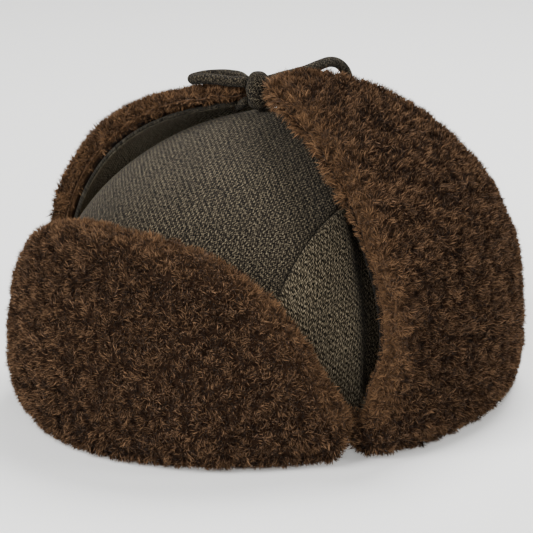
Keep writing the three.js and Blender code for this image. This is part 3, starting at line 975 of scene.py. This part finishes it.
@dataclass
class FurFlap:
    """One turned-up flap: its tweed backing and its deep shearling.

    Each pair leads from where something sets in to where it is whole. A turn is the part of a
    face's direction that leads away from the crown, from -1 to 1, or for the lip towards it.
    """

    form: CrownForm
    name: str
    cloth_node: str
    fur_node: str
    back_seam: float = 0.5
    sink: float = 2.9
    floor_clear: float = 2.0
    clump: float = 5.0
    clump_relief: float = 1.5
    swell: float = 28.0
    swell_relief: float = 0.8
    edge_reach: float = 9.0
    lip_from: float = 24.0
    comb_up: float = 0.3
    comb_out: float = 0.5
    comb_over: float = 1.0
    lip_off_cloth: Pair = (1.8, 3.0)
    lip_turn: Pair = (0.1, 0.5)
    fur_turn: Pair = (-0.55, -0.1)
    lip_hold: float = 0.85
    lip_trim: float = 0.5
    edge_turn: float = 0.45
    seam_sideways: float = 0.7
    knot_span: Pair = (82.0, 102.0)
    knot_length: float = -0.3
    pelt_tone: float = 0.3
    # How much shade is painted on the backing's inner rim, where the fur shades it.
    rim_painted_shade: float = 0.93
    rim_turn: Pair = (-0.97, -0.8)

    def pelt(self, cloth: Piece) -> Piece:
        """Builds the sheepskin under the locks, a little inside the fur's outline.

        Args:
            cloth: The backing. The pelt is bare where it lies against it.

        Returns:
            The pelt, with the attributes that its locks need.
        """
        mesh = refined(self.fur_node, f"{self.name}_pelt", 2, self.back_seam)
        points, normals = read_points(mesh), read_normals(mesh)
        facing = (normals * self.form.outward(points)).sum(axis=1)
        at_back = (np.abs(points[:, 0]) < self.back_seam) & (points[:, 1] > 0)
        high = points[:, 2] > self.lip_from
        from_cloth = points - nearest(points, read_points(cloth.data))
        away = np.linalg.norm(from_cloth, axis=1)
        off_cloth = ease(away, *self.lip_off_cloth) * high
        inner_lip = off_cloth * ease(-facing, *self.lip_turn)
        fur = np.maximum(ease(facing, *self.fur_turn), inner_lip)
        lumps = np.array([noise.noise(Vector(p) / self.clump) for p in points])
        swells = np.array([noise.noise(Vector(p) / self.swell) for p in points])
        relief = lumps * self.clump_relief + swells * self.swell_relief
        shift = normals * ((relief - self.sink * (1 - self.lip_hold * inner_lip)) * fur)[:, None]
        shift[at_back, 0] = 0
        sunk = points + shift
        sunk[:, 2] = np.maximum(sunk[:, 2], self.floor_clear)
        write_points(mesh, sunk)
        # How near each point lies to the fur's free edge; the finish paints the fur there paler, partly
        # wear and partly painted highlight.
        lip = points[(np.abs(facing) < self.edge_turn) & high]
        off_lip = np.linalg.norm(points - nearest(points, lip), axis=1)
        edge = np.exp(-((off_lip / self.edge_reach) ** 2))
        up = np.array([0, 0, 1.0]) - normals * normals[:, [2]]
        out = unit(from_cloth)
        out -= normals * (out * normals).sum(axis=1, keepdims=True)
        fur[at_back & (np.abs(normals[:, 0]) > self.seam_sideways)] = 0
        write_attribute(mesh, "fur", fur)
        write_attribute(mesh, "edge", edge)
        outwards = high * self.comb_out * (1 - self.comb_over * inner_lip)
        write_attribute(mesh, "comb", up * self.comb_up + out * outwards[:, None])
        at_knot = ease(points[:, 2], *self.knot_span)
        longer = self.knot_length * at_knot - self.lip_trim * (1 - at_knot)
        write_attribute(mesh, "trim", 1 + longer * inner_lip)
        write_attribute(mesh, "tip", np.ones(len(points)))
        write_attribute(mesh, "shade", np.full(len(points), self.pelt_tone))
        return link_piece(f"{self.name}_pelt", mesh)

    def backing(self) -> Piece:
        """Builds the flap's tweed, with its map of cloth from the crown's chart and shade painted along
        its rim.
        """
        mesh = refined(self.cloth_node, f"{self.name}_backing", 2, self.back_seam)
        points = read_points(mesh)
        arc = self.form.arc_at(points)
        front = np.abs(points[:, 1] / self.form.radius_y) > np.abs(points[:, 0] / self.form.radius_x)
        across = np.where(front, points[:, 0], points[:, 1])
        corners = np.zeros(len(mesh.loops), np.int32)
        mesh.loops.foreach_get("vertex_index", corners)
        uv = np.stack([across, arc], axis=-1)[corners]
        mesh.uv_layers.new(name="cloth").data.foreach_set("uv", uv.astype(np.float32).ravel())
        facing = (read_normals(mesh) * self.form.outward(points)).sum(axis=1)
        # Painted shade: the backing's rim, where it turns in under the fur, is darkened to the tweed's
        # ground in place of the fur's shadow.
        rim = ease(facing, *self.rim_turn) * (points[:, 2] > self.lip_from)
        write_attribute(mesh, "dark", self.rim_painted_shade * rim)
        return link_piece(f"{self.name}_backing", mesh)

    def build(self, curls: CurlTree, cloth: Material, spans: Sequence[float]) -> None:
        """Makes the backing, the pelt and its locks.

        Args:
            curls: The tree that grows the locks.
            cloth: The backing's finish.
            spans: The limits along Y between which each piece of locks lies.
        """
        backing = self.backing()
        dress(backing, cloth, Slot.CLOTH, self.cloth_node)
        pelt = self.pelt(backing)
        for index, (low, high) in enumerate(zip(spans, spans[1:])):
            grown = curls.grow(pelt, f"{self.name}_curls_{index + 1}", From=low, To=high)
            dress(grown, curls.finish, Slot.FUR)
        dress(pelt, curls.finish, Slot.FUR, self.fur_node)


def smooth_route(points: Sequence[Point], count: int) -> Array:
    """Draws a centripetal Catmull-Rom curve through points.

    Args:
        points: The route's points.
        count: How many points the curve gets.

    Returns:
        The curve's points, evenly spaced along it.
    """
    rows = np.array(points, float)
    rows = np.concatenate([[2 * rows[0] - rows[1]], rows, [2 * rows[-1] - rows[-2]]])
    gaps = np.sqrt(np.linalg.norm(np.diff(rows, axis=0), axis=1))
    part = np.linspace(0, 1, 24, endpoint=False)[:, None]
    pieces = []
    for i in range(1, len(rows) - 2):
        before, here, after = gaps[i - 1 : i + 2]
        a, b, c, d = rows[i - 1 : i + 3]
        leave = ((b - a) / before - (c - a) / (before + here) + (c - b) / here) * here
        arrive = ((c - b) / here - (d - b) / (here + after) + (d - c) / after) * here
        cubic = 2 * b - 2 * c + leave + arrive
        square = -3 * b + 3 * c - 2 * leave - arrive
        pieces.append(b + leave * part + square * part**2 + cubic * part**3)
    dense = np.concatenate([*pieces, rows[-2:-1]])
    length = np.concatenate([[0], np.cumsum(np.linalg.norm(np.diff(dense, axis=0), axis=1))])
    even = np.linspace(0, length[-1], count)
    return np.stack([np.interp(even, length, dense[:, k]) for k in range(3)], axis=-1)


def route_length(line: Array) -> float:
    """Returns a line's length."""
    return float(np.linalg.norm(np.diff(line, axis=0), axis=1).sum())


def tube(name: str, line: Array, radii: Array, sides: int, rounded: bool = False) -> Piece:
    """Builds a closed tube along a line, with its cloth mapped round and along it.

    Args:
        name: The piece's name.
        line: The centre line.
        radii: The radius at each point of it.
        sides: How many sides it has.
        rounded: Whether the far end is rounded over.

    Returns:
        The tube, in the scene.
    """
    if rounded:
        close = np.array([0.25, 0.5, 0.7, 0.85, 0.95])
        ahead = unit(line[-1] - line[-2])
        line = np.concatenate([line, line[-1] + ahead * (close * radii[-1])[:, None]])
        radii = np.concatenate([radii, radii[-1] * np.sqrt(1 - close**2)])
    tangents = unit(np.gradient(line, axis=0))
    normal = unit(np.cross(tangents[0], [0.31, 0.12, 0.94]))
    normals = []
    for tangent in tangents:
        normal = unit(normal - tangent * (normal @ tangent))
        normals.append(normal)
    normals = np.array(normals)
    sideways = np.cross(tangents, normals)
    turn = np.arange(sides) * 2 * math.pi / sides
    spokes = normals[:, None] * np.cos(turn)[:, None] + sideways[:, None] * np.sin(turn)[:, None]
    rings = line[:, None] + spokes * radii[:, None, None]
    count = len(line)
    points = np.concatenate([rings.reshape(-1, 3), line[[0, -1]]])
    along = np.concatenate([[0], np.cumsum(np.linalg.norm(np.diff(line, axis=0), axis=1))])
    round_step = 2 * math.pi * float(np.median(radii)) / sides
    faces = ring_faces(count, sides).tolist()
    cloth = np.stack(np.meshgrid(np.arange(sides + 1) * round_step, along), axis=-1).reshape(-1, 2)
    corners = grid_faces(np.arange(len(cloth)).reshape(count, -1))
    uv = cloth[corners].reshape(-1, 2).tolist()
    for row, tip, reach in ((0, count * sides, -1), (count - 1, count * sides + 1, 1)):
        for j in range(sides):
            faces.append((row * sides + j, row * sides + (j + 1) % sides, tip))
            uv.extend([(j * round_step, along[row]), ((j + 1) * round_step, along[row])])
            uv.append(((j + 0.5) * round_step, along[row] + reach * radii[row]))
    return make_piece(name, points, faces, np.array(uv))


@dataclass(frozen=True)
class FreeCord:
    """A length of the tie that lies free, from the knot to its far end: the knot again, or bare."""

    node: str
    far_end: str
    route: tuple[Point, ...]


@dataclass
class Bow:
    """The cloth cord that holds the ear flaps, tied over the crown in a bow."""

    cord: float = 4.5
    neck: float = 3.6
    sides: int = 20
    step: float = 1.2
    rough_rows: int = 200
    neck_rows: int = 8
    knot_rows: int = 64
    knot_columns: int = 72
    knot_swell: float = 1.02
    plumpness: float = 0.6
    wraps: int = 3
    wrap_depth: float = 0.14
    wrap_round: float = 0.7
    pole: float = 0.02
    free: tuple[FreeCord, ...] = (
        FreeCord(
            "bow_loop_back",
            "object",
            (
                (-2.6, 2.9, 133), (-1.5, 12, 133.6), (-0.6, 24, 134), (0, 34, 135.2),
                (0, 40.5, 135.4), (0, 46.5, 133.6), (0.3, 50.8, 129.8), (0.6, 53.2, 124),
                (0.8, 55.5, 117.5), (0.6, 59, 110.5), (-1.2, 64.5, 104.2), (-6.9, 69, 99.8),
                (-12.6, 66.9, 100.4), (-15.6, 60.5, 103.9), (-15.7, 50.9, 109), (-13.7, 38.9, 114.6),
                (-10.2, 26.4, 119.1), (-6.9, 13.4, 122.7), (-4.6, 2.7, 126.4),
            ),
        ),
        FreeCord(
            "bow_loop_right",
            "object",
            (
                (-8.9, -3, 132.6), (-13, -3.6, 132.3), (-18, -4.2, 131.9), (-22, -4.6, 132),
                (-26, -4.8, 131.8), (-33, -4.8, 131), (-38.3, -3.2, 129.9), (-41.2, 1.2, 129.3),
                (-39.8, 6.2, 129.7), (-35, 8.4, 130.4), (-30.5, 8, 131.1), (-26, 7, 131.6),
                (-18, 4, 132.3), (-13, 2, 131), (-8.8, 0, 129),
            ),
        ),
        FreeCord(
            "tie_end_left",
            "bare",
            (
                (2.7, 2.2, 130.6), (5, 7, 127), (7.4, 12.5, 123.2), (10.3, 22.1, 120.2),
                (13.7, 34.7, 116), (15.3, 45.9, 111.4),
            ),
        ),
        FreeCord(
            "tie_end_right",
            "bare",
            (
                (0, 2.8, 126.2), (0.6, 13.5, 122.8), (1.9, 26.4, 119.8), (2.7, 39, 115.8),
                (3.2, 48.1, 111.9),
            ),
        ),
    )
    held: tuple[tuple[str, Point, Point], ...] = (
        ("tie_cord_left", (9.2, -2, 126.8), (4, -2.6, 127.6)),
        ("tie_cord_right", (-14.2, -2.4, 121.4), (-8.8, -3.4, 124.8)),
    )

    def lay_free(self, cord: FreeCord, finish: Material) -> None:
        length = route_length(smooth_route(cord.route, self.rough_rows))
        line = smooth_route(cord.route, int(length / self.step) + 2)
        radii = np.full(len(line), self.cord / 2)
        ends_free = cord.far_end == "bare"
        piece = tube(f"{cord.node}_cord", line, radii, self.sides, ends_free)
        dress(piece, finish, Slot.CORD, cord.node)

    def knot(self) -> Piece:
        """Builds the knot: a plump body with the cord's turns slanting round it."""
        low, high = (np.array(corner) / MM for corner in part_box("bow_knot"))
        middle, half = (low + high) / 2, (high - low) / 2
        rows, columns = self.knot_rows, self.knot_columns
        up = np.linspace(self.pole, math.pi - self.pole, rows)[:, None]
        around = np.linspace(0, 2 * math.pi, columns, endpoint=False)[None]
        turns = 2 * self.wraps * up + around
        ridge = np.abs(np.cos(turns / 2)) ** self.wrap_round * np.sin(up) ** 0.5
        wrap = 1 - self.wrap_depth + self.wrap_depth * ridge
        plump = self.knot_swell * np.sin(up) ** self.plumpness * wrap
        sideways = [half[0] * plump * np.cos(around), half[1] * plump * np.sin(around)]
        grid = middle + np.stack([*sideways, half[2] * np.cos(up) + 0 * around], axis=-1)
        ends = [list(range(columns)), list(range((rows - 1) * columns, rows * columns))]
        faces = ring_faces(rows, columns).tolist() + ends
        girth, over = 2 * math.pi * half[0], 2.6 * half[2]
        cloth = np.meshgrid(np.arange(columns) / columns * girth, np.linspace(0, over, rows))
        flat = np.stack(cloth, axis=-1).reshape(-1, 2)
        uv = np.concatenate([flat[face] for face in faces])
        return make_piece("bow_knot_wraps", grid.reshape(-1, 3), faces, uv)

    def build(self) -> None:
        """Makes the cords and the knot and dresses them."""
        finish = TweedFinish(
            name="fine wool tweed of the cord",
            yarn="#221d16",
            fleck="#675e4c",
            yarn_pitch=1.3,
            turn=math.radians(29),
        ).material()
        for cord in self.free:
            self.lay_free(cord, finish)
        for node, start, end in self.held:
            line = np.linspace(start, end, self.neck_rows)
            radii = np.full(len(line), self.neck / 2)
            dress(tube(f"{node}_neck", line, radii, self.sides), finish, Slot.CORD, node)
        dress(self.knot(), finish, Slot.CORD, "bow_knot")


def main() -> None:
    """Builds the studio, the bow, the crown and the three flaps."""
    logging.basicConfig(level=logging.INFO, format="%(name)s %(message)s")
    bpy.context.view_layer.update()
    Studio().build()
    Bow().build()
    form = CrownForm.from_frame()
    Crown(form).build()
    curls = CurlTree(ShearlingFinish().material())
    cloth = TweedFinish(name="wool tweed of the flaps", turn=math.radians(20)).material()
    # Painted light: the right flap's backing gets a much paler copy of the flaps' tweed, as it stands in
    # shade.
    paler = TweedFinish(
        name="wool tweed painted pale for shade", yarn="#a09278", fleck="#e6dabd", turn=math.radians(20)
    ).material()
    cloths = {Side.LEFT: cloth, Side.RIGHT: paler}
    FurFlap(form, "visor", "visor_cloth", "visor_fur").build(curls, cloth, (-200, -90, 200))
    comb_over = {Side.LEFT: 0.6, Side.RIGHT: 2.0}
    knot_length = {Side.LEFT: 0.55, Side.RIGHT: -0.2}
    for side in Side:
        word = side.name.lower()
        flap = FurFlap(form, f"ear_flap_{word}", f"ear_flap_cloth_{word}", f"ear_flap_fur_{word}")
        flap.comb_over = comb_over[side]
        flap.knot_length = knot_length[side]
        flap.build(curls, cloths[side], (-200, 5, 60, 200))


if __name__ == "__main__":
    main()
